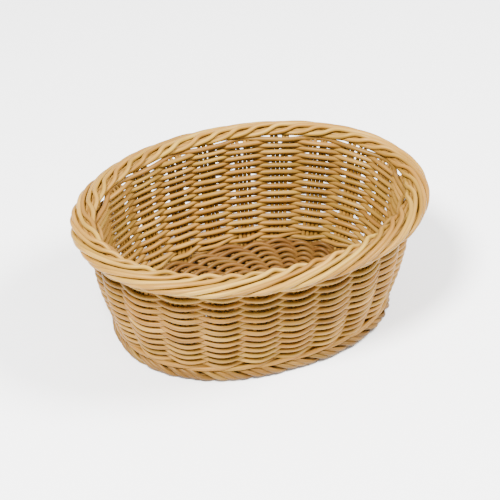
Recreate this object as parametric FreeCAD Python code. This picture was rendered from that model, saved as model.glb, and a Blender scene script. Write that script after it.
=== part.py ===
import FreeCAD, Part
import math
import os

from FreeCAD import Vector

# Oval woven basket. Millimetres, +Z up, long axis along X.
# The origin is at the middle of the underside: z = 0 is the plane that the foot border stands on.

# Overall sizes, as ovals through the middle of the side stakes: the floor's at ground level, the mouth's
# at the middle of the rim. The height follows from the rods: base layers, then rows, then rim.
floor_half_length = 88.9
floor_half_width = 63.9
floor_squareness = 2.24
mouth_half_length = 108.4
mouth_half_width = 78.8
mouth_squareness = 2.06
wall_bow = 5.5

# Side stakes: upright bundles of parallel rods
bundle_count = 22
stakes_per_bundle = 4
stake_radius = 1.35
stake_gap = 0.4
stake_foot_z = 1.0

# Side weave
weaver_radius = 1.5
row_gap = 0.33
wale_rows = 2
weaver_rows = 22
stroke_overrun = 1.4
weave_clearance = 0.45
stroke_bend = 9.0

# Rim border: rods laid side by side, tilted so that the outer side hangs lower
rim_rod_radius = 1.6
rim_rod_gap = 0.35
rim_rods_across = (4, 5, 4)
rim_overhang = 8.6
rim_tilt = math.radians(12.5)

# Foot border
foot_rod_radius = 1.55
foot_rod_gap = 0.4
foot_flat_depth = 0.15

# Base: bundles of sticks cross in the middle and fan out to the wall
stick_radius = 1.3
cross_bundles = 5
cross_rods = 3
cross_gap = 4.3
cross_straight = 12.0
cross_ends = (90.0, 71.0, 51.0)
long_bundles = 4
long_rods = 2
long_gap = 0.2
long_straight = 34.0
long_ends = (11.0, 31.0)
stick_bend = 20.0
base_weaver_radius = 1.3
base_row_gap = 0.45
base_rows = 12
ground_gap = 0.4

# Running gap between neighbouring rods, and between smooth rings or stick ends and the flat bundles
clearance = 0.3
bundle_clearance = 0.65

# Pitches
stake_pitch = 2 * stake_radius + stake_gap
row_pitch = 2 * weaver_radius + row_gap
rim_rod_pitch = 2 * rim_rod_radius + rim_rod_gap
rim_row_height = rim_rod_pitch * math.sqrt(3) / 2
foot_rod_pitch = 2 * foot_rod_radius + foot_rod_gap
stick_pitch = 2 * stick_radius + clearance
base_row_pitch = 2 * base_weaver_radius + base_row_gap

# Levels, from the ground up
layer = stick_radius + base_weaver_radius + clearance
low_base_z = ground_gap + base_weaver_radius
cross_z = low_base_z + layer
long_z = cross_z + 2 * stick_radius + clearance
high_base_z = long_z + layer
first_row_z = cross_z + stick_radius + clearance + weaver_radius
last_row_z = first_row_z + (wale_rows + weaver_rows - 1) * row_pitch
rim_level = last_row_z + weaver_radius + clearance + rim_row_height + rim_rod_radius

OVAL_POINTS = 44
SAMPLES = 1440
STRAIGHT = 1e-5
HALVING = 1e-7


def oval(half_length, half_width, squareness, t):
    """Point on a superellipse at parameter t, in the XY plane."""
    c, s = math.cos(t), math.sin(t)
    x = half_length * math.copysign(abs(c) ** (2 / squareness), c)
    y = half_width * math.copysign(abs(s) ** (2 / squareness), s)
    return Vector(x, y, 0)


def oval_normal(half_length, half_width, squareness, t):
    """Outward unit normal of that superellipse."""
    step = 2 * math.pi / SAMPLES
    ahead = oval(half_length, half_width, squareness, t + step)
    behind = oval(half_length, half_width, squareness, t - step)
    along = (ahead - behind).normalize()
    return Vector(along.y, -along.x, 0)


def even_parameters(half_length, half_width, squareness, count):
    """Parameters of points spaced evenly along an oval, symmetric about both axes."""
    ts = [2 * math.pi * i / SAMPLES for i in range(SAMPLES + 1)]
    points = [oval(half_length, half_width, squareness, t) for t in ts]
    travelled = [0.0]
    for before, after in zip(points, points[1:]):
        travelled.append(travelled[-1] + (after - before).Length)
    places, i = [], 0
    for k in range(count):
        target = travelled[-1] * (k + 0.5) / count
        while travelled[i + 1] < target:
            i += 1
        share = (target - travelled[i]) / (travelled[i + 1] - travelled[i])
        places.append(ts[i] + share * (ts[i + 1] - ts[i]))
    return places


def rounded_path(points, radius, closed):
    """Wire of straight runs joined by tangent arcs. No arc takes over 0.45 of a run."""
    count = len(points)
    corners = range(count) if closed else range(1, count - 1)
    bends = {}
    for i in corners:
        before, here, after = points[i - 1], points[i], points[(i + 1) % count]
        back, on = before - here, after - here
        room = 0.45 * min(back.Length, on.Length)
        back.normalize()
        on.normalize()
        half = math.acos(max(-1.0, min(1.0, back.dot(on)))) / 2
        if math.pi / 2 - half < STRAIGHT:
            continue
        cut = min(radius / math.tan(half), room)
        inner = (back + on).normalize()
        middle = here + inner * (cut / math.cos(half) - cut * math.tan(half))
        bends[i] = (here + back * cut, middle, here + on * cut)
    edges = []
    for i in range(count if closed else count - 1):
        following = (i + 1) % count
        start = bends[i][2] if i in bends else points[i]
        end = bends[following][0] if following in bends else points[following]
        edges.append(Part.LineSegment(start, end).toShape())
        if following in bends:
            edges.append(Part.Arc(*bends[following]).toShape())
    return Part.Wire(edges)


def rod(path, radius):
    """Round rod along a wire: one solid."""
    first = path.OrderedEdges[0]
    start = first.valueAt(first.FirstParameter)
    heading = first.tangentAt(first.FirstParameter)
    if first.Orientation == "Reversed":
        start = first.valueAt(first.LastParameter)
        heading = first.tangentAt(first.LastParameter) * -1
    section = Part.Wire(Part.Circle(start, heading, radius).toShape())
    return path.makePipeShell([section], True, False)


def oval_ring(half_length, half_width, squareness, outset, z, radius):
    """Closed rod lying level, a fixed distance outside (or inside) an oval."""
    points = []
    for i in range(OVAL_POINTS):
        t = 2 * math.pi * (i + 0.5) / OVAL_POINTS
        normal = oval_normal(half_length, half_width, squareness, t)
        points.append(oval(half_length, half_width, squareness, t) + normal * outset + Vector(0, 0, z))
    return rod(rounded_path(points, half_length, True), radius)


class StakeBundle:
    """One upright bundle: equal arcs side by side along the wall, leaning out and bowed outward."""

    def __init__(self, t):
        self.normal = oval_normal(*middle_oval, t)
        self.along = Vector(-self.normal.y, self.normal.x, 0)
        self.foot = oval(floor_half_length, floor_half_width, floor_squareness, t)
        mouth = oval(mouth_half_length, mouth_half_width, mouth_squareness, t) + Vector(0, 0, rim_level)
        middle = (self.foot + mouth) * 0.5 + self.normal * wall_bow
        self.curve = Part.Arc(self.foot, middle, mouth)

    def place(self, z):
        """Parameter on the bundle's middle line at a height, by halving."""
        low, high = self.curve.FirstParameter, self.curve.LastParameter
        while high - low > HALVING:
            half = (low + high) / 2
            if self.curve.value(half).z < z:
                low = half
            else:
                high = half
        return low

    def point(self, z):
        return self.curve.value(self.place(z))

    def outward(self, z):
        """How far outside its foot the bundle stands at a height."""
        return (self.point(z) - self.foot).dot(self.normal)

    def level_gap(self, distance, z):
        """Level distance that keeps a level rod this far from the leaning stakes."""
        heading = self.curve.tangent(self.place(z))[0]
        return distance * math.hypot(heading.z, heading.dot(self.normal)) / abs(heading.z)

    def rods(self, top_z):
        made = []
        heights = (stake_foot_z, (stake_foot_z + top_z) / 2, top_z)
        points = [self.point(z) for z in heights]
        for i in range(stakes_per_bundle):
            shift = self.along * ((i - (stakes_per_bundle - 1) / 2) * stake_pitch)
            arc = Part.Arc(*[point + shift for point in points])
            made.append(rod(Part.Wire(arc.toShape()), stake_radius))
        return made


def woven_row(z, phase):
    """One weaver: outside one bundle, inside the next, all the way round."""
    half_run = (stakes_per_bundle - 1) / 2 * stake_pitch + stake_radius + stroke_overrun
    points = []
    for k, bundle in enumerate(bundles):
        side = 1 if (k + phase) % 2 == 0 else -1
        off = side * bundle.level_gap(stake_radius + weaver_radius + weave_clearance, z)
        centre = bundle.point(z) + bundle.normal * off
        points.append(centre - bundle.along * half_run)
        points.append(centre + bundle.along * half_run)
    return rod(rounded_path(points, stroke_bend, True), weaver_radius)


def outside_wall(distance, z):
    """Outset from the floor oval that keeps a level rod this far outside every stake at a height."""
    return max(bundle.outward(z) + bundle.level_gap(distance, z) for bundle in bundles)


def inside_wall(distance, z):
    """Inset from the floor oval that keeps a level rod this far inside every stake at a height."""
    return max(bundle.level_gap(distance, z) - bundle.outward(z) for bundle in bundles)


def rim_rods():
    """Rods of the rim border, packed in rows across a tilted section."""
    made = []
    middle_row = (len(rim_rods_across) - 1) / 2
    for row, across in enumerate(rim_rods_across):
        up = (middle_row - row) * rim_row_height
        for i in range(across):
            out = (i - (across - 1) / 2) * rim_rod_pitch
            outset = rim_overhang + out * math.cos(rim_tilt) + up * math.sin(rim_tilt)
            z = rim_level - out * math.sin(rim_tilt) + up * math.cos(rim_tilt)
            ring = oval_ring(mouth_half_length, mouth_half_width, mouth_squareness,
                             outset, z, rim_rod_radius)
            made.append((ring, z - rim_rod_radius, outset - rim_rod_radius))
    return made


def foot_rods():
    """Three rods of the foot border. The two lower ones are flattened where they stand."""
    low_z = foot_rod_radius - foot_flat_depth
    high_z = low_z + foot_rod_pitch * math.sqrt(3) / 2
    distance = stake_radius + bundle_clearance + foot_rod_radius
    inner = outside_wall(distance, low_z)
    upper = max(inner + foot_rod_pitch / 2, outside_wall(distance, high_z))
    ground = Part.makeBox(4 * floor_half_length, 4 * floor_half_width, 10,
                          Vector(-2 * floor_half_length, -2 * floor_half_width, -10))
    rings = {}
    places = {"inner": (inner, low_z), "outer": (inner + foot_rod_pitch, low_z), "upper": (upper, high_z)}
    for name, (outset, z) in places.items():
        ring = oval_ring(floor_half_length, floor_half_width, floor_squareness, outset, z, foot_rod_radius)
        rings[name] = ring.cut(ground).Solids[0] if z < foot_rod_radius else ring
    return rings


def offset_line(points, distance):
    """Copy of a flat open polyline, moved sideways by a distance with its runs kept parallel."""
    sides = []
    for before, after in zip(points, points[1:]):
        run = (after - before).normalize()
        sides.append(Vector(-run.y, run.x, 0))
    moved = [points[0] + sides[0] * distance]
    for i in range(1, len(points) - 1):
        both = sides[i - 1] + sides[i]
        moved.append(points[i] + both * (distance / (1 + sides[i - 1].dot(sides[i]))))
    moved.append(points[-1] + sides[-1] * distance)
    return moved


def stick_bundle(points, count, z):
    """Parallel base sticks along a flat route with soft bends."""
    made = []
    for i in range(count):
        line = offset_line(points, (i - (count - 1) / 2) * stick_pitch)
        path = rounded_path([point + Vector(0, 0, z) for point in line], stick_bend, False)
        made.append(rod(path, stick_radius))
    return made


def base_edge(inset, degrees):
    """Point at a fixed distance inside the floor oval, at a parameter in degrees."""
    t = math.radians(degrees)
    normal = oval_normal(floor_half_length, floor_half_width, floor_squareness, t)
    return oval(floor_half_length, floor_half_width, floor_squareness, t) - normal * inset


def cross_sticks():
    """Bundles across the base, over the ground rows and under the lengthwise sticks."""
    made = []
    inset = inside_wall(stake_radius + bundle_clearance + clearance, cross_z)
    spacing = cross_rods * stick_pitch + cross_gap
    for j in range(cross_bundles):
        step = j - (cross_bundles - 1) // 2
        x = step * spacing
        end = base_edge(inset, cross_ends[abs(step)])
        end.x = math.copysign(end.x, x) if step else 0.0
        route = [Vector(end.x, -end.y, 0), Vector(x, -cross_straight, 0), Vector(x, cross_straight, 0), end]
        made += stick_bundle(route, cross_rods, cross_z)
    return made


def long_sticks():
    """Bundles along the base, on top of the crosswise sticks."""
    made = []
    depth = stake_radius + 2 * weaver_radius + weave_clearance
    inset = inside_wall(depth + clearance, long_z) + clearance
    spacing = long_rods * stick_pitch + long_gap
    for j in range(long_bundles):
        y = (j - (long_bundles - 1) / 2) * spacing
        end = base_edge(inset, long_ends[int(abs(y) / spacing)])
        end.y = math.copysign(end.y, y)
        route = [Vector(-end.x, end.y, 0), Vector(-long_straight, y, 0), Vector(long_straight, y, 0), end]
        made += stick_bundle(route, long_rods, long_z)
    return made


def base_rings():
    """Level oval rows, taking turns below and above the sticks, from the middle outward."""
    depth = stake_radius + 2 * weaver_radius + weave_clearance
    outer_inset = inside_wall(depth + base_weaver_radius + clearance, high_base_z) + clearance
    rings = []
    for row in range(base_rows):
        inset = outer_inset + (base_rows - 1 - row) * base_row_pitch
        z = high_base_z if row % 2 else low_base_z
        rings.append(oval_ring(floor_half_length - inset, floor_half_width - inset, floor_squareness,
                               0, z, base_weaver_radius))
    return rings


def save(name, solids):
    shape = solids[0] if len(solids) == 1 else Part.makeCompound(solids)
    shape.exportStep(f"parts/{name}.step")


os.makedirs("parts", exist_ok=True)

middle_oval = ((floor_half_length + mouth_half_length) / 2, (floor_half_width + mouth_half_width) / 2,
               (floor_squareness + mouth_squareness) / 2)
bundles = [StakeBundle(t) for t in even_parameters(*middle_oval, bundle_count)]

# Base
save("base_cross_sticks", cross_sticks())
save("base_long_sticks", long_sticks())
for number, ring in enumerate(base_rings(), 1):
    save(f"base_weaver_{number:02d}", [ring])

# Foot border
for name, ring in foot_rods().items():
    save(f"foot_rod_{name}", [ring])

# Rim border
rim = rim_rods()
for number, (ring, underside, inner) in enumerate(rim, 1):
    save(f"rim_rod_{number:02d}", [ring])

# Side stakes, up to just under the rim rods that pass over them
stake_top_z = min(underside for ring, underside, inner in rim if inner < 2 * stake_radius) - clearance
sides = {"right": [], "back": [], "left": [], "front": []}
for bundle in bundles:
    if abs(bundle.normal.x) > abs(bundle.normal.y):
        side = "right" if bundle.normal.x > 0 else "left"
    else:
        side = "back" if bundle.normal.y > 0 else "front"
    sides[side] += bundle.rods(stake_top_z)
for side, solids in sides.items():
    save(f"side_stakes_{side}", solids)

# Side weave, from the floor up
for row in range(wale_rows + weaver_rows):
    name = f"wale_row_{row + 1:02d}" if row < wale_rows else f"side_weaver_{row - wale_rows + 1:02d}"
    save(name, [woven_row(first_row_z + row * row_pitch, row)])
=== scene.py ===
import math

import bpy
import numpy as np
from mathutils import Matrix, Vector


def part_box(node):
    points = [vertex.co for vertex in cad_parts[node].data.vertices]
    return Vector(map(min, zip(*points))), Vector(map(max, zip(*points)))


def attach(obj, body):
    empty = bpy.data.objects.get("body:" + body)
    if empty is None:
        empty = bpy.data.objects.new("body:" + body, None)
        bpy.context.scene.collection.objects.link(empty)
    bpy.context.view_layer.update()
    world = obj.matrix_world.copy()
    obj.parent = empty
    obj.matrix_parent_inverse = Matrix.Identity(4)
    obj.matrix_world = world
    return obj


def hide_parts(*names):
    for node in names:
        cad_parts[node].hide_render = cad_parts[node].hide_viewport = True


# Oval woven basket, all in metres. +Z is up and the long axis lies along X.

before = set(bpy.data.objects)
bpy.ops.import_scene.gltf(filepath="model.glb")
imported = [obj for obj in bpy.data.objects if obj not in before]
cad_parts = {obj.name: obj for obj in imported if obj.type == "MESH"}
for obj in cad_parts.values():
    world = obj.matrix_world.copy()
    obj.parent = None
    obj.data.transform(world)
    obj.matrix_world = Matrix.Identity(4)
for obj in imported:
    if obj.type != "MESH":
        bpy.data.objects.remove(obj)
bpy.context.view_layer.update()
MM = 0.001
rng = np.random.default_rng(22)

# ---------------------------------------------------------------- sizes

# Wall: a superellipse at the floor blends into one at the mouth, with a slight outward bow
WALL_BOW = 5.5 * MM
FLOOR_SQUARENESS = 2.24
MOUTH_SQUARENESS = 2.06
RIM_REACH = 16.8 * MM
FOOT_REACH = 8.6 * MM

# Stakes: bundles of rods that split into two pairs near the top and turn out under the rim
BUNDLES = 22
RODS = 4
STAKE_POINTS = 46
STAKE_RADIUS = 1.46 * MM
STAKE_PITCH = 3.04 * MM
STAKE_FOOT_LEVEL = 1.6 * MM
STAKE_OVERRUN = 0.5 * MM
STAKE_LEAN = 0.5 * MM
STAKE_DEPTH = 0.12 * MM
SPLIT_START = 0.72
SPLIT_RANGE = (0.5, 1.6)
SPLIT_FIRST_PAIR = -0.5
SPLIT_SECOND_PAIR = 1.6
SPLIT_SPREAD = 0.35 * MM
TURN_OUT = 5.5 * MM
TURN_DEPTH = 8 * MM

# Side rows: they swing past the stakes, sag outside them and rise inside them
WEAVER_RADIUS = 1.72 * MM
WEAVE_ROWS = 27
POINTS_PER_BUNDLE = 20
WEAVE_SWING_OUT = 3.2 * MM
WEAVE_SWING_IN = 2.7 * MM
WEAVE_SAG_OUT = 0.7 * MM
WEAVE_RISE_IN = 1.0 * MM
FIRST_ROW_DROP = 0.7 * MM
LAST_ROW_LIFT = 3.8 * MM
SWING_VARIATION = 0.05
LEVEL_VARIATION = 0.38 * MM

# Wale: outward offset and share of the rise along one stroke, which spans three bundles
WALE_TURNS = 3
WALE_STROKE = 3
WALE_POINTS_PER_BUNDLE = 16
WALE_SAMPLES = 300
WALE_SMOOTHING = 31
WALE_KNOTS = np.linspace(0, WALE_STROKE, 7)
WALE_OUTS = np.array([3.7, 4.1, 3.7, 0.3, -3.1, 0.3, 3.7]) * MM
WALE_RISES = np.array([0.12, 0.5, 0.9, 1.0, 0.5, 0.0, 0.12])
WALE_LOW_LIFT = 0.9 * MM
WALE_HIGH_LIFT = 0.5 * MM

# Rim border: the section's size and tilt, then how a strand winds round it
RIM_OVERHANG = 8.6 * MM
RIM_TILT = math.radians(12.5)
RIM_STRAND_RADIUS = 1.62 * MM
RIM_HALF_WIDTH = 7.3 * MM
RIM_HALF_HEIGHT = 3.5 * MM
RIM_SQUARENESS = 2.5
RIM_RIDGE_ANGLE = math.radians(128)
RIM_STRANDS = 2
RIM_POINTS = 132
RIM_STRAND_SPACING = 2.1
RIM_CLIMB = 0.64
RIM_DIVE = 0.38
PAIR_SPACING = 0.46
PAIR_SPREAD = 0.12
PAIR_CLOSE_LENGTH = 12 * MM
RIDGE_JUMP = 1.6 * MM
RIDGE_JUMP_LENGTH = 5.2 * MM
RIDGE_LIFT = 1.0 * MM
RIDGE_LENGTH = 8 * MM
INNER_DROP = 0.7 * MM
INNER_DROP_SPAN = (6 * MM, 22 * MM)
RIM_RIPPLE = 0.22 * MM
RIM_RIPPLE_LENGTH = 17 * MM
RIM_SINK = 0.2 * MM
RIM_TUCK = 1.5 * MM
RIM_TUCK_START = 14 * MM
RIM_TUCK_END = 10 * MM
RIM_CROSSING_VARIATION = 0.5 * MM
RIM_RUN_VARIATION = 0.8 * MM
RIM_CORE_OUTS = (-4.2 * MM, -1.4 * MM, 1.4 * MM, 4.2 * MM)
RIM_CORE_RADIUS = 1.75 * MM
RIM_CORE_POINTS = 260

# Foot border: its size and turn, then the core rods' places in mm out and up
FOOT_OUTSET = 5.4 * MM
FOOT_STRAND_RADIUS = 1.6 * MM
FOOT_HALF_WIDTH = 3.5 * MM
FOOT_HALF_HEIGHT = 3.1 * MM
FOOT_SQUARENESS = 2.0
FOOT_START_ANGLE = math.radians(140)
FOOT_STRANDS = 3
FOOT_POINTS = 56
FOOT_STRAND_SPACING = 1.72
FOOT_SLOPE = 0.46
FOOT_TURN = 0.80
FOOT_LEAD = 22 * MM
FOOT_VARIATION = 0.3 * MM
FOOT_RIPPLE = 0.3 * MM
FOOT_RIPPLE_LENGTH = 8 * MM
FOOT_TUCK_START = 2.6 * MM
FOOT_TUCK_START_LENGTH = 6 * MM
FOOT_TUCK_END = 1.2 * MM
FOOT_TUCK_END_LENGTH = 8 * MM
FOOT_CORE_PLACES = ((-8.6, 0.8), (-3.1, 1.4), (-0.6, 1.2), (0.9, -0.6))
FOOT_CORE_RADIUS = 1.3 * MM
FOOT_CORE_POINTS = 220

# Base rows and the sticks that carry them
BASE_ROD_RADIUS = 1.72 * MM
BASE_LEVEL = 6.0 * MM
BASE_LONG_MIDDLE = 25 * MM
BASE_EDGE = 62.8 * MM
BASE_PITCH = 3.0 * MM
BASE_ROWS = 16
BASE_RIBS = 28
BASE_POINTS_PER_RIB = 16
BASE_SWING = 3.2 * MM
BASE_SWIRL = math.radians(0.45) / MM
BASE_SWIRL_START = 40 * MM
BASE_VARIATION = 0.12 * MM
CROSS_STICKS_X = np.linspace(-33, 33, 11) * MM
LONG_STICKS_Y = np.array([-11.2, -5.6, 0, 5.6, 11.2]) * MM
LONG_STICK_END = 37 * MM
STICK_RADIUS = 1.15 * MM
STICK_PAIR_OFFSET = 1.1
STICK_WAVE = 1.35 * MM
STICK_OVERRUN = 0.5 * MM
RIB_POINTS = 12
CROSS_STICK_POINTS = 90
LONG_STICK_POINTS = 110
SHORT_STICK_POINTS = 60
STICK_SMOOTHING = 13

# Rod meshes: sides, thickness knots in metres and number, and the size of a rounded end
FINE_SIDES = 12
ROD_SIDES = 10
CORE_SIDES = 8
KNOT_SPACING = 12 * MM
FEWEST_KNOTS = 6
THICKNESS_VARIATION = 0.03
SMALLEST_END = 0.12
GRAIN_OFFSET = 5
RIPPLE_PHASE = 6

# Steps round an oval when its length is measured
OVAL_STEPS = 4000


def span(names):
    """Lowest and highest corner of several CAD nodes together."""
    corners = [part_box(name) for name in names]
    low = np.min([tuple(c[0]) for c in corners], axis=0)
    high = np.max([tuple(c[1]) for c in corners], axis=0)
    return low, high


def level(node):
    """Middle height of a CAD node."""
    low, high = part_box(node)
    return (low.z + high.z) / 2


nodes = sorted(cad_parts)
rim_nodes = [n for n in nodes if n.startswith("rim_rod")]
foot_nodes = [n for n in nodes if n.startswith("foot_rod")]
stake_nodes = [n for n in nodes if n.startswith("side_stakes")]
wale_nodes = [n for n in nodes if n.startswith("wale_row")]
row_nodes = [n for n in nodes if n.startswith("side_weaver")]
base_row_nodes = [n for n in nodes if n.startswith("base_weaver")]

rim_low, rim_high = span(rim_nodes)
foot_low, foot_high = span(foot_nodes)
RIM_LEVEL = (rim_low[2] + rim_high[2]) / 2
MOUTH = (rim_high[0] - RIM_REACH, rim_high[1] - RIM_REACH, MOUTH_SQUARENESS)
FLOOR = (foot_high[0] - FOOT_REACH, foot_high[1] - FOOT_REACH, FLOOR_SQUARENESS)
MIDDLE = tuple((m + f) / 2 for m, f in zip(MOUTH, FLOOR))


# ---------------------------------------------------------------- lines and ovals

def unit(vectors):
    return vectors / np.linalg.norm(vectors, axis=-1, keepdims=True)


def run_along(points):
    """Distance from the first point to each point, along the line."""
    steps = np.linalg.norm(np.diff(points, axis=0), axis=1)
    return np.concatenate([[0], np.cumsum(steps)])


def bell(width):
    """Smoothing weights that add up to 1."""
    weights = np.hanning(width)
    return weights / weights.sum()


def smooth(x, low, high):
    """0 below low, 1 above high, eased between."""
    s = np.clip((x - low) / (high - low), 0, 1)
    return s * s * (3 - 2 * s)


def wander(u, knots, amount):
    """Smooth closed random line: one random value per knot, eased between them."""
    values = rng.normal(0, amount, knots)
    place = np.asarray(u, float) % knots
    k = np.floor(place).astype(int) % knots
    ease = (1 - np.cos(math.pi * (place - np.floor(place)))) / 2
    return values[k] * (1 - ease) + values[(k + 1) % knots] * ease


def oval(shape, t):
    """Points on a superellipse (half length, half width, squareness) at parameters t."""
    a, b, n = shape
    c, s = np.cos(t), np.sin(t)
    x = a * np.sign(c) * np.abs(c) ** (2 / n)
    y = b * np.sign(s) * np.abs(s) ** (2 / n)
    return np.stack([x, y], -1)


def oval_normal(shape, t):
    """Outward unit normals of a superellipse at parameters t."""
    step = 0.004
    along = unit(oval(shape, t + step) - oval(shape, t - step))
    return np.stack([along[..., 1], -along[..., 0]], -1)


class Track:
    """A closed line at a fixed distance outside an oval, walked by distance."""

    def __init__(self, shape, outset=0.0):
        self.shape, self.outset = shape, outset
        self.t = np.linspace(0, 2 * math.pi, OVAL_STEPS + 1)
        self.run = run_along(self.place(self.t))
        self.length = self.run[-1]

    def place(self, t):
        return oval(self.shape, t) + self.outset * oval_normal(self.shape, t)

    def parameter(self, distance):
        turns = np.floor(distance / self.length)
        return np.interp(distance - turns * self.length, self.run, self.t) + 2 * math.pi * turns

    def at(self, distance):
        """Points and outward normals at distances along the line."""
        t = self.parameter(distance)
        return self.place(t), oval_normal(self.shape, t)

    def ring(self, out, height, count):
        """Points of a closed line moved outward from the track, at one height."""
        centre, normal = self.at(np.linspace(0, self.length, count, endpoint=False))
        return np.concatenate([centre + normal * out, np.full((count, 1), height)], -1)


middle_track = Track(MIDDLE)


def bundle_parameter(u):
    """Oval parameter at bundle number u. Bundle k stands at u = k + 0.5."""
    return middle_track.parameter(np.asarray(u, float) * middle_track.length / BUNDLES)


def wall(u, z, out):
    """Points on the wall at bundle number u and height z, moved outward."""
    t = bundle_parameter(u)
    share = (np.asarray(z) / RIM_LEVEL)[..., None]
    bow = 4 * WALL_BOW * share * (1 - share)
    flat = oval(FLOOR, t) * (1 - share) + oval(MOUTH, t) * share
    flat = flat + oval_normal(MIDDLE, t) * (bow + np.asarray(out)[..., None])
    return np.concatenate([flat, np.asarray(z)[..., None]], -1)


# ---------------------------------------------------------------- strands to mesh

class Strands:
    """Round rods swept along lines and gathered into one mesh.

    Each point carries "grain" (distance along the rod, then the two directions across it) and
    "tone" (one random value for the whole rod), which the materials read.
    """

    def __init__(self):
        self.points, self.faces, self.grain, self.tone = [], [], [], []
        self.count = 0

    def add(self, line, radius, upright=(0, 0, 1), sides=FINE_SIDES, closed=False):
        """Sweep one rod along a line. An open rod gets rounded ends."""
        line = np.asarray(line, float)
        n = len(line)
        if closed:
            ahead, behind = np.roll(line, -1, 0), np.roll(line, 1, 0)
        else:
            ahead = np.concatenate([line[1:], line[-1:] * 2 - line[-2:-1]])
            behind = np.concatenate([line[:1] * 2 - line[1:2], line[:-1]])
        along = unit(ahead - behind)
        side = unit(np.cross(along, np.broadcast_to(np.asarray(upright, float), line.shape)))
        over = np.cross(side, along)

        run = run_along(line)
        knots = max(FEWEST_KNOTS, int(run[-1] / KNOT_SPACING))
        thick = radius * (1 + wander(np.arange(n) * knots / n, knots, THICKNESS_VARIATION))
        if not closed:
            inset = np.clip(np.minimum(run, run[-1] - run) / radius, 0, 1)
            thick = thick * np.sqrt(np.clip(1 - (1 - inset) ** 2, SMALLEST_END, 1))
        turn = np.linspace(0, 2 * math.pi, sides, endpoint=False)
        ring = np.cos(turn)[None, :, None] * side[:, None] + np.sin(turn)[None, :, None] * over[:, None]
        points = line[:, None] + ring * thick[:, None, None]

        i = np.arange(n if closed else n - 1)[:, None]
        j = np.arange(sides)[None, :]
        following, beside = (i + 1) % n, (j + 1) % sides
        corners = (i * sides + j, i * sides + beside, following * sides + beside, following * sides + j)
        quads = np.stack(np.broadcast_arrays(*corners), -1)
        self.faces += (quads.reshape(-1, 4) + self.count).tolist()
        if not closed:
            self.faces.append([self.count + k for k in reversed(range(sides))])
            self.faces.append([self.count + (n - 1) * sides + k for k in range(sides)])

        offset = rng.uniform(0, GRAIN_OFFSET, 3)
        grain = np.empty((n, sides, 3))
        grain[..., 0] = run[:, None] + offset[0]
        grain[..., 1] = radius * np.cos(turn)[None, :] + offset[1]
        grain[..., 2] = radius * np.sin(turn)[None, :] + offset[2]
        self.points.append(points.reshape(-1, 3))
        self.grain.append(grain.reshape(-1, 3))
        self.tone.append(np.full(n * sides, rng.uniform()))
        self.count += n * sides

    def piece(self, name, material, slot, *stands_for):
        """Make one object of all the rods and hide the CAD parts that it stands for."""
        mesh = bpy.data.meshes.new(name)
        mesh.from_pydata(np.concatenate(self.points).tolist(), [], self.faces)
        mesh.polygons.foreach_set("use_smooth", np.ones(len(mesh.polygons), bool))
        grain = mesh.attributes.new("grain", "FLOAT_VECTOR", "POINT")
        grain.data.foreach_set("vector", np.concatenate(self.grain).astype(np.float32).ravel())
        tone = mesh.attributes.new("tone", "FLOAT", "POINT")
        tone.data.foreach_set("value", np.concatenate(self.tone).astype(np.float32))
        mesh.materials.append(material)
        made = bpy.data.objects.new(name, mesh)
        bpy.context.scene.collection.objects.link(made)
        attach(made, "root")
        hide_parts(*stands_for)


# ---------------------------------------------------------------- materials

# Noise scales along a rod and in the two directions across it, per metre
FIBRE_SCALE = (25.0, 1800.0, 1800.0)
BLOTCH_SCALE = (45.0, 160.0, 160.0)
HUE_SCALE = (12.0, 60.0, 60.0)

# Tints that multiply the rod's own colour, by noise value
FIBRE_TINTS = [(0.3, (0.82, 0.76, 0.68, 1)), (0.6, (1.05, 1.05, 1.05, 1))]
BLOTCH_TINTS = [(0.3, (0.84, 0.78, 0.68, 1)), (0.62, (1.06, 1.05, 1.03, 1))]
HUE_TINTS = [(0.35, (1.03, 0.97, 0.9, 1)), (0.5, (1, 1, 1, 1)), (0.65, (0.94, 1.0, 0.85, 1))]

ROUGHNESS_BELOW = 0.07
ROUGHNESS_ABOVE = 0.12
SPECULAR_LEVEL = 0.25
SPECULAR_TINT = (1.0, 0.8, 0.45, 1)
COAT_WEIGHT = 0.03
COAT_ROUGHNESS = 0.35
BUMP_STRENGTH = 0.35
BUMP_DISTANCE = 0.00012


def srgb(r, g, b):
    """Linear colour of an 8-bit display colour."""
    return tuple((c / 255 / 12.92) if c <= 10 else ((c / 255 + 0.055) / 1.055) ** 2.4
                 for c in (r, g, b)) + (1.0,)


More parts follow.
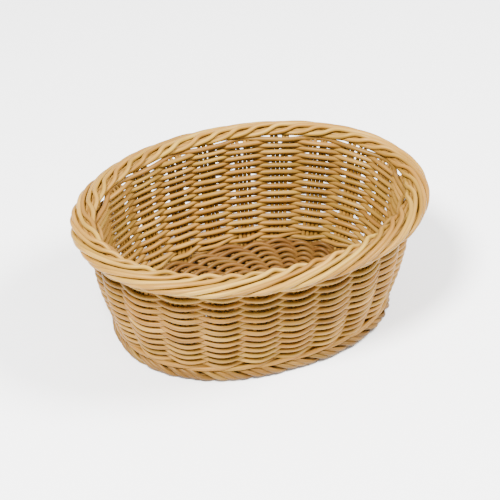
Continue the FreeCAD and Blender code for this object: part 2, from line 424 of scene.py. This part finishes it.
def cane(name, colours, roughness):
    """Peeled cane: a tone per rod, long fibre streaks, blotches, and a soft gloss."""
    material = bpy.data.materials.new(name)
    material.use_nodes = True
    tree = material.node_tree
    tree.nodes.clear()
    new, join = tree.nodes.new, tree.links.new
    grain = new("ShaderNodeAttribute")
    grain.attribute_name = "grain"
    tone = new("ShaderNodeAttribute")
    tone.attribute_name = "tone"

    def noise(scale, detail, rough=0.5):
        """Noise over the grain coordinates, stretched along the rod."""
        stretched = new("ShaderNodeVectorMath")
        stretched.operation = "MULTIPLY"
        stretched.inputs[1].default_value = scale
        join(grain.outputs["Vector"], stretched.inputs[0])
        node = new("ShaderNodeTexNoise")
        node.inputs["Scale"].default_value = 1.0
        node.inputs["Detail"].default_value = detail
        node.inputs["Roughness"].default_value = rough
        join(stretched.outputs[0], node.inputs["Vector"])
        return node.outputs["Fac"]

    def ramp(value, stops):
        node = new("ShaderNodeValToRGB")
        join(value, node.inputs[0])
        elements = node.color_ramp.elements
        while len(elements) < len(stops):
            elements.new(0.5)
        for element, (place, colour) in zip(elements, stops):
            element.position = place
            element.color = colour
        return node.outputs["Color"]

    def multiply(first, second):
        node = new("ShaderNodeMix")
        node.data_type = "RGBA"
        node.blend_type = "MULTIPLY"
        node.inputs["Factor"].default_value = 1.0
        join(first, node.inputs["A"])
        join(second, node.inputs["B"])
        return node.outputs["Result"]

    fibres = noise(FIBRE_SCALE, detail=4.0, rough=0.6)
    blotches = noise(BLOTCH_SCALE, detail=2.0)
    hue = noise(HUE_SCALE, detail=1.0)

    pale, body, warm = colours
    base = ramp(tone.outputs["Fac"], [(0.0, warm), (0.35, body), (0.7, body), (1.0, pale)])
    base = multiply(base, ramp(blotches, BLOTCH_TINTS))
    base = multiply(base, ramp(fibres, FIBRE_TINTS))
    base = multiply(base, ramp(hue, HUE_TINTS))

    shader = new("ShaderNodeBsdfPrincipled")
    join(base, shader.inputs["Base Color"])
    gloss = new("ShaderNodeMapRange")
    gloss.inputs["To Min"].default_value = roughness - ROUGHNESS_BELOW
    gloss.inputs["To Max"].default_value = roughness + ROUGHNESS_ABOVE
    join(fibres, gloss.inputs["Value"])
    join(gloss.outputs["Result"], shader.inputs["Roughness"])
    shader.inputs["Specular IOR Level"].default_value = SPECULAR_LEVEL
    shader.inputs["Specular Tint"].default_value = SPECULAR_TINT
    shader.inputs["Coat Weight"].default_value = COAT_WEIGHT
    shader.inputs["Coat Roughness"].default_value = COAT_ROUGHNESS

    bump = new("ShaderNodeBump")
    bump.inputs["Strength"].default_value = BUMP_STRENGTH
    bump.inputs["Distance"].default_value = BUMP_DISTANCE
    join(fibres, bump.inputs["Height"])
    join(bump.outputs["Normal"], shader.inputs["Normal"])

    output = new("ShaderNodeOutputMaterial")
    join(shader.outputs["BSDF"], output.inputs["Surface"])
    return material


# Pale, body and warm tones of each part's cane
HONEY = (srgb(152, 116, 54), srgb(130, 95, 41), srgb(108, 75, 32))
CREAM = (srgb(166, 131, 62), srgb(145, 109, 46), srgb(124, 89, 35))
# The foot's tones: the honey tones darkened, as painted shade
SHADED_HONEY = (srgb(124, 94, 42), srgb(104, 75, 32), srgb(87, 59, 25))
# The base's tones: browner cane, and darker still as painted shade
BROWN_AND_SHADED = (srgb(112, 81, 37), srgb(97, 66, 28), srgb(82, 52, 21))

rim_cane = cane("rim_cane", CREAM, 0.40)
wall_cane = cane("wall_cane", HONEY, 0.43)
stake_cane = cane("stake_cane", HONEY, 0.45)
# The foot's cane is darkened as painted shade
foot_cane = cane("foot_cane", SHADED_HONEY, 0.44)
# The base's cane, also used for the sticks and the foot's core rods, is browner and partly darkened as
# painted shade
base_cane = cane("base_cane", BROWN_AND_SHADED, 0.47)


# ---------------------------------------------------------------- side weave

def weave_side():
    """One round rod per row, outside one bundle and inside the next.

    Rows are matched to CAD nodes by number, and the last node stands for the extra rows.
    """
    u = np.linspace(0, BUNDLES, BUNDLES * POINTS_PER_BUNDLE, endpoint=False)
    lowest = level(row_nodes[0]) - FIRST_ROW_DROP
    highest = level(row_nodes[-1]) + LAST_ROW_LIFT
    for row, row_level in enumerate(np.linspace(lowest, highest, WEAVE_ROWS)):
        node = row_nodes[min(row, len(row_nodes) - 1)]
        wave = (-1) ** row * np.cos(math.pi * (u - 0.5))
        swing = wave * (WEAVE_SWING_OUT + WEAVE_SWING_IN) / 2
        swing = swing + wave ** 2 * (WEAVE_SWING_OUT - WEAVE_SWING_IN) / 2
        swing = swing * (1 + wander(u, BUNDLES, SWING_VARIATION))
        z = row_level + wander(u, BUNDLES, LEVEL_VARIATION) * np.abs(wave)
        z = z - WEAVE_SAG_OUT * (wave + wave ** 2) / 2 - WEAVE_RISE_IN * (wave - wave ** 2) / 2
        strands = Strands()
        strands.add(wall(u, z, swing), WEAVER_RADIUS, closed=True)
        strands.piece("woven_row_%02d" % (row + 1), wall_cane, "side_weave", node)


def weave_wale():
    """One rod that winds three times round: outside two bundles, inside the next."""
    low = level(wale_nodes[0]) + WALE_LOW_LIFT
    high = level(wale_nodes[1]) + WALE_HIGH_LIFT
    length = BUNDLES * WALE_TURNS
    u = np.linspace(0, length, length * WALE_POINTS_PER_BUNDLE, endpoint=False)
    phase = (u - 0.5) % WALE_STROKE
    fine = np.linspace(0, WALE_STROKE, WALE_SAMPLES + 1)
    three_strokes = np.concatenate([fine[:-1] - WALE_STROKE, fine[:-1], fine + WALE_STROKE])

    def eased(values):
        """A stroke's knot values, smoothed and read along the rod."""
        lined = np.interp(three_strokes % WALE_STROKE, WALE_KNOTS, values)
        soft = np.convolve(lined, bell(WALE_SMOOTHING), "same")
        return np.interp(phase, fine, soft[WALE_SAMPLES:2 * WALE_SAMPLES + 1])

    z = low + (high - low) * eased(WALE_RISES)
    strands = Strands()
    strands.add(wall(u % BUNDLES, z, eased(WALE_OUTS)), WEAVER_RADIUS, closed=True)
    strands.piece("lower_wale", wall_cane, "side_weave", *wale_nodes)


# ---------------------------------------------------------------- side stakes

def side_of(normal):
    """Which side of the basket a wall normal faces."""
    if abs(normal[0]) > abs(normal[1]):
        return "right" if normal[0] > 0 else "left"
    return "back" if normal[1] > 0 else "front"


def stand_stakes():
    """Bundles of four rods. Near the top each splits into two pairs and turns out under the rim."""
    z = np.linspace(STAKE_FOOT_LEVEL, RIM_LEVEL + STAKE_OVERRUN, STAKE_POINTS)
    fan = smooth(z, SPLIT_START * RIM_LEVEL, RIM_LEVEL)
    turn_out = TURN_OUT * smooth(z, RIM_LEVEL - TURN_DEPTH, RIM_LEVEL)
    sides = {node: Strands() for node in stake_nodes}
    for k in range(BUNDLES):
        normal = oval_normal(MIDDLE, bundle_parameter(k + 0.5))
        tangent = np.array([-normal[1], normal[0], 0])
        lean = rng.normal(0, STAKE_LEAN) * smooth(z, 0, RIM_LEVEL)
        split = rng.uniform(*SPLIT_RANGE) * MM
        for i in range(RODS):
            share = SPLIT_SECOND_PAIR if i >= RODS / 2 else SPLIT_FIRST_PAIR
            shift = (i - (RODS - 1) / 2) * STAKE_PITCH + lean
            shift = shift + fan * (split * share + rng.normal(0, SPLIT_SPREAD))
            out = turn_out + rng.normal(0, STAKE_DEPTH)
            line = wall(np.full(len(z), k + 0.5), z, out) + tangent * shift[:, None]
            bundle_side = sides["side_stakes_" + side_of(normal)]
            bundle_side.add(line, STAKE_RADIUS, upright=(*normal, 0), sides=ROD_SIDES)
    for node, strands in sides.items():
        strands.piece(node.replace("side_", ""), stake_cane, "stakes", node)


# ---------------------------------------------------------------- rolled borders

class Section:
    """A superellipse across a border, walked by the distance around it."""

    def __init__(self, half_width, half_height, squareness, start_angle):
        angle = start_angle + np.linspace(-2 * math.pi, 2 * math.pi, OVAL_STEPS + 1)
        self.points = oval((half_width, half_height, squareness), angle)
        run = run_along(self.points)
        self.run = run - run[OVAL_STEPS // 2]
        self.perimeter = run[-1] / 2

    def place(self, distance):
        return np.stack([np.interp(distance, self.run, self.points[:, axis]) for axis in (0, 1)], -1)

    def at(self, distance, lift):
        """Positions moved outward by lift. Distance grows counter-clockwise."""
        step = 0.05 * MM
        along = unit(self.place(distance + step) - self.place(distance))
        return self.place(distance) + np.stack([along[:, 1], -along[:, 0]], -1) * lift[:, None]


def rolled(track, section, distance, around, lift, centre_z, tilt):
    """Points of a strand that winds round a border's section while it runs along the border."""
    centre, normal = track.at(distance)
    local = section.at(around, lift)
    out = local[:, 0] * math.cos(tilt) + local[:, 1] * math.sin(tilt)
    up = -local[:, 0] * math.sin(tilt) + local[:, 1] * math.cos(tilt)
    return np.concatenate([centre + normal * out[:, None], (centre_z + up)[:, None]], -1)


def roll_rim(track):
    """Pairs of rods climb the outer face, cross the ridge side by side and dive down the inner face."""
    section = Section(RIM_HALF_WIDTH, RIM_HALF_HEIGHT, RIM_SQUARENESS, RIM_RIDGE_ANGLE)
    pitch = track.length / BUNDLES
    slope = 2 * RIM_STRAND_SPACING * RIM_STRAND_RADIUS / pitch
    first = -RIM_CLIMB * section.perimeter / slope
    last = RIM_DIVE * section.perimeter / slope
    s = np.linspace(first, last, RIM_POINTS)
    jump = RIDGE_JUMP * np.tanh(s / RIDGE_JUMP_LENGTH)
    apart = 1 - np.exp(-(s / PAIR_CLOSE_LENGTH) ** 2)
    profile = RIDGE_LIFT * np.exp(-(s / RIDGE_LENGTH) ** 2) - INNER_DROP * smooth(s, *INNER_DROP_SPAN)
    tucked = smooth(-s, -first - RIM_TUCK_START, -first) + smooth(s, last - RIM_TUCK_END, last)
    strands = Strands()
    for k in range(BUNDLES):
        for member in range(RIM_STRANDS):
            side = member - (RIM_STRANDS - 1) / 2
            crossing = (k + 0.5) * pitch + side * pitch * PAIR_SPACING
            crossing = crossing + rng.normal(0, RIM_CROSSING_VARIATION)
            run = s - rng.normal(0, RIM_RUN_VARIATION)
            around = slope * (run + side * pitch * PAIR_SPREAD * apart) + jump
            ripple = RIM_RIPPLE * np.sin(s / RIM_RIPPLE_LENGTH + rng.uniform(0, RIPPLE_PHASE))
            lift = profile + ripple - RIM_SINK - RIM_TUCK * tucked
            line = rolled(track, section, crossing + s, around, lift, RIM_LEVEL, RIM_TILT)
            strands.add(line, RIM_STRAND_RADIUS, sides=ROD_SIDES)
    strands.piece("rim_border", rim_cane, "rim_border", *rim_nodes)


def fill_rim(track):
    """Rods behind the rim strands, so that no light shows through."""
    core = Strands()
    for out in RIM_CORE_OUTS:
        height = RIM_LEVEL - out * math.sin(RIM_TILT)
        line = track.ring(out * math.cos(RIM_TILT), height, RIM_CORE_POINTS)
        core.add(line, RIM_CORE_RADIUS, sides=CORE_SIDES, closed=True)
    core.piece("rim_core", stake_cane, "rim_border", *rim_nodes)


def roll_foot(track, centre_z):
    """The lower ends of the stakes: three long strands per bundle, rolled out, down and under."""
    section = Section(FOOT_HALF_WIDTH, FOOT_HALF_HEIGHT, FOOT_SQUARENESS, FOOT_START_ANGLE)
    pitch = track.length / BUNDLES
    beside = FOOT_STRAND_SPACING * FOOT_STRAND_RADIUS / math.sin(math.atan(FOOT_SLOPE))
    last = FOOT_TURN * section.perimeter / FOOT_SLOPE
    s = np.linspace(-FOOT_TUCK_START_LENGTH, last, FOOT_POINTS)
    around = -FOOT_SLOPE * np.maximum(s, 0)
    tuck_start = FOOT_TUCK_START * smooth(-s, 0, FOOT_TUCK_START_LENGTH)
    tuck_end = FOOT_TUCK_END * smooth(s, last - FOOT_TUCK_END_LENGTH, last)
    lowest = foot_low[2] + FOOT_STRAND_RADIUS
    strands = Strands()
    for k in range(BUNDLES):
        for member in range(FOOT_STRANDS):
            start = (k + 0.5) * pitch + member * beside - FOOT_LEAD + rng.normal(0, FOOT_VARIATION)
            ripple = FOOT_RIPPLE * np.sin(s / FOOT_RIPPLE_LENGTH + rng.uniform(0, RIPPLE_PHASE))
            lift = ripple - tuck_start - tuck_end
            line = rolled(track, section, start + s, around, lift, centre_z, 0.0)
            line[:, 2] = np.maximum(line[:, 2], lowest)
            strands.add(line, FOOT_STRAND_RADIUS, sides=ROD_SIDES)
    strands.piece("foot_border", foot_cane, "foot_border", *foot_nodes)


def fill_foot(track, centre_z):
    """Rods behind the foot strands, between them and the base."""
    core = Strands()
    for out, up in FOOT_CORE_PLACES:
        line = track.ring(out * MM, centre_z + up * MM, FOOT_CORE_POINTS)
        core.add(line, FOOT_CORE_RADIUS, sides=CORE_SIDES, closed=True)
    core.piece("foot_core", base_cane, "foot_border", *foot_nodes)


# ---------------------------------------------------------------- base

def base_point(rho, t, z):
    """Base coordinates: rho grows from the middle line outward, t turns round it."""
    across, along = np.cos(t), np.sin(t)
    x = (BASE_LONG_MIDDLE + rho) * np.sign(across) * np.abs(across) ** (2 / FLOOR_SQUARENESS)
    y = rho * np.sign(along) * np.abs(along) ** (2 / FLOOR_SQUARENESS)
    return np.stack(np.broadcast_arrays(x, y, z), -1)


def swirl(rho):
    """Angle by which the ribs have swept round at rho."""
    return BASE_SWIRL * (rho - BASE_SWIRL_START)


def weave_base():
    """Oval rows over and under ribs that sweep round as they run outward."""
    t = np.linspace(0, 2 * math.pi, BASE_RIBS * BASE_POINTS_PER_RIB, endpoint=False)
    knots = t / (2 * math.pi) * BASE_RIBS
    strands = Strands()
    for row in range(BASE_ROWS):
        rho = BASE_EDGE - row * BASE_PITCH
        wave = np.cos(BASE_RIBS / 2 * (t - swirl(rho))) * (-1) ** row
        z = BASE_LEVEL + BASE_SWING * wave + wander(knots, BASE_RIBS, BASE_VARIATION)
        line = base_point(rho + wander(knots, BASE_RIBS, BASE_VARIATION), t, z)
        strands.add(line, BASE_ROD_RADIUS, sides=ROD_SIDES, closed=True)
    strands.piece("base_weave", base_cane, "base_weave", *base_row_nodes)


def spoke(points, count):
    """Smooth line through a few given points."""
    points = np.asarray(points, float)
    run = run_along(points)
    fine = np.linspace(0, run[-1], count)
    line = np.stack([np.interp(fine, run, points[:, axis]) for axis in range(3)], -1)
    half = STICK_SMOOTHING // 2
    before = line[:1] * 2 - line[half:0:-1]
    after = line[-1:] * 2 - line[-2:-2 - half:-1]
    padded = np.concatenate([before, line, after])
    weights = bell(STICK_SMOOTHING)
    return np.stack([np.convolve(padded[:, axis], weights, "valid") for axis in range(3)], -1)


def stick_pair(strands, line):
    """Two rods side by side along a line."""
    along = np.gradient(line, axis=0)
    side = unit(np.stack([-along[:, 1], along[:, 0], np.zeros(len(line))], -1))
    for sign in (-1, 1):
        strands.add(line + side * sign * STICK_PAIR_OFFSET * MM, STICK_RADIUS, sides=CORE_SIDES)


def set_sticks():
    """Sticks cross in the middle as a mat and sweep outward as the ribs of the base."""
    inner = BASE_EDGE - (BASE_ROWS - 1) * BASE_PITCH
    outer = np.linspace(inner, BASE_EDGE + STICK_OVERRUN, RIB_POINTS)
    step = 2 * math.pi / BASE_RIBS
    turned = round(swirl(inner) / step)

    # Ribs are numbered counter-clockwise from the right-hand end: right, top, left, then bottom
    middle_row = len(LONG_STICKS_Y) // 2
    last_top = middle_row + len(CROSS_STICKS_X) - 1
    first_bottom = BASE_RIBS // 2 + middle_row

    def rib(number):
        """Points of one rib, from the first row outward."""
        return base_point(outer, (number - turned) * step + swirl(outer), BASE_LEVEL)

    crossing, lengthwise = Strands(), Strands()
    for j, x in enumerate(CROSS_STICKS_X):
        middle = [(x, y, BASE_LEVEL - STICK_WAVE * (-1) ** (j + i)) for i, y in enumerate(LONG_STICKS_Y)]
        top, bottom = rib(last_top - j), rib(first_bottom + j)
        stick_pair(crossing, spoke(np.concatenate([bottom[::-1], middle, top]), CROSS_STICK_POINTS))
    for i, y in enumerate(LONG_STICKS_Y):
        middle = [(x, y, BASE_LEVEL + STICK_WAVE * (-1) ** (j + i)) for j, x in enumerate(CROSS_STICKS_X)]
        if 0 < i < len(LONG_STICKS_Y) - 1:
            right, left = rib(i - middle_row), rib(first_bottom - i)
            stick_pair(lengthwise, spoke(np.concatenate([left[::-1], middle, right]), LONG_STICK_POINTS))
        else:
            middle = [(-LONG_STICK_END, y, BASE_LEVEL)] + middle + [(LONG_STICK_END, y, BASE_LEVEL)]
            stick_pair(lengthwise, spoke(middle, SHORT_STICK_POINTS))
    crossing.piece("base_ribs_across", base_cane, "base_sticks", "base_cross_sticks")
    lengthwise.piece("base_ribs_along", base_cane, "base_sticks", "base_long_sticks")


# ---------------------------------------------------------------- stage

FLOOR_REACH = 6.0
FLOOR_COLOUR = (0.93, 0.93, 0.93, 1)
FLOOR_ROUGHNESS = 0.9
WORLD_COLOUR = (1, 1, 1, 1)
WORLD_STRENGTH = 1.05
LIGHT_AIM = Vector((0, 0, 0.05))

# Camera: its direction from the rim's centre, its distance, and how far its aim leans left and down
CAMERA_AZIMUTH = math.radians(-22.99)
CAMERA_ELEVATION = math.radians(35.06)
CAMERA_DISTANCE = 1.282
CAMERA_LENS = 135.9
CAMERA_SENSOR = 36
CAMERA_CLIP = (0.01, 50)
AIM_LEFT = 0.0010
AIM_DOWN = 0.0249


def lay_floor():
    """A plain pale floor."""
    mesh = bpy.data.meshes.new("floor")
    corners = [(x * FLOOR_REACH, y * FLOOR_REACH, 0) for x, y in ((-1, -1), (1, -1), (1, 1), (-1, 1))]
    mesh.from_pydata(corners, [], [(0, 1, 2, 3)])
    floor = bpy.data.objects.new("floor", mesh)
    bpy.context.scene.collection.objects.link(floor)
    pale = bpy.data.materials.new("pale_floor")
    pale.use_nodes = True
    shader = pale.node_tree.nodes["Principled BSDF"]
    shader.inputs["Base Color"].default_value = FLOOR_COLOUR
    shader.inputs["Roughness"].default_value = FLOOR_ROUGHNESS
    mesh.materials.append(pale)


def light_world():
    """White light from all round."""
    world = bpy.data.worlds.new("studio")
    world.use_nodes = True
    background = world.node_tree.nodes["Background"]
    background.inputs["Color"].default_value = WORLD_COLOUR
    background.inputs["Strength"].default_value = WORLD_STRENGTH
    bpy.context.scene.world = world


def softbox(name, place, size, power):
    """A round area light that faces the basket."""
    light = bpy.data.lights.new(name, "AREA")
    light.shape = "DISK"
    light.size = size
    light.energy = power
    lamp = bpy.data.objects.new(name, light)
    lamp.location = place
    aim = LIGHT_AIM - Vector(place)
    lamp.rotation_euler = aim.to_track_quat("-Z", "Y").to_euler()
    bpy.context.scene.collection.objects.link(lamp)


def set_camera():
    """The camera at the photograph's angle."""
    flat = math.cos(CAMERA_ELEVATION)
    back = Vector((math.sin(CAMERA_AZIMUTH) * flat, -math.cos(CAMERA_AZIMUTH) * flat,
                   math.sin(CAMERA_ELEVATION)))
    right = Vector((math.cos(CAMERA_AZIMUTH), math.sin(CAMERA_AZIMUTH), 0))
    up = back.cross(right)
    look = (-back - AIM_LEFT * right - AIM_DOWN * up).normalized()
    side = look.cross(up).normalized()
    above = side.cross(look)
    camera = bpy.data.objects.new("camera", bpy.data.cameras.new("camera"))
    camera.data.sensor_width = CAMERA_SENSOR
    camera.data.lens = CAMERA_LENS
    camera.data.clip_start, camera.data.clip_end = CAMERA_CLIP
    camera.location = back * CAMERA_DISTANCE + Vector((0, 0, RIM_LEVEL))
    camera.rotation_mode = "QUATERNION"
    camera.rotation_quaternion = Matrix((side, above, -look)).transposed().to_quaternion()
    bpy.context.scene.collection.objects.link(camera)
    bpy.context.scene.camera = camera


# ---------------------------------------------------------------- build

rim_track = Track(MOUTH, RIM_OVERHANG)
foot_track = Track(FLOOR, FOOT_OUTSET)
foot_centre = foot_low[2] + FOOT_STRAND_RADIUS + FOOT_HALF_HEIGHT

weave_side()
weave_wale()
stand_stakes()
roll_rim(rim_track)
fill_rim(rim_track)
roll_foot(foot_track, foot_centre)
fill_foot(foot_track, foot_centre)
weave_base()
set_sticks()
lay_floor()
light_world()
softbox("key", place=(-0.75, -0.5, 1.5), size=0.45, power=115)
softbox("fill", place=(0.9, -0.4, 1.3), size=0.6, power=65)
set_camera()
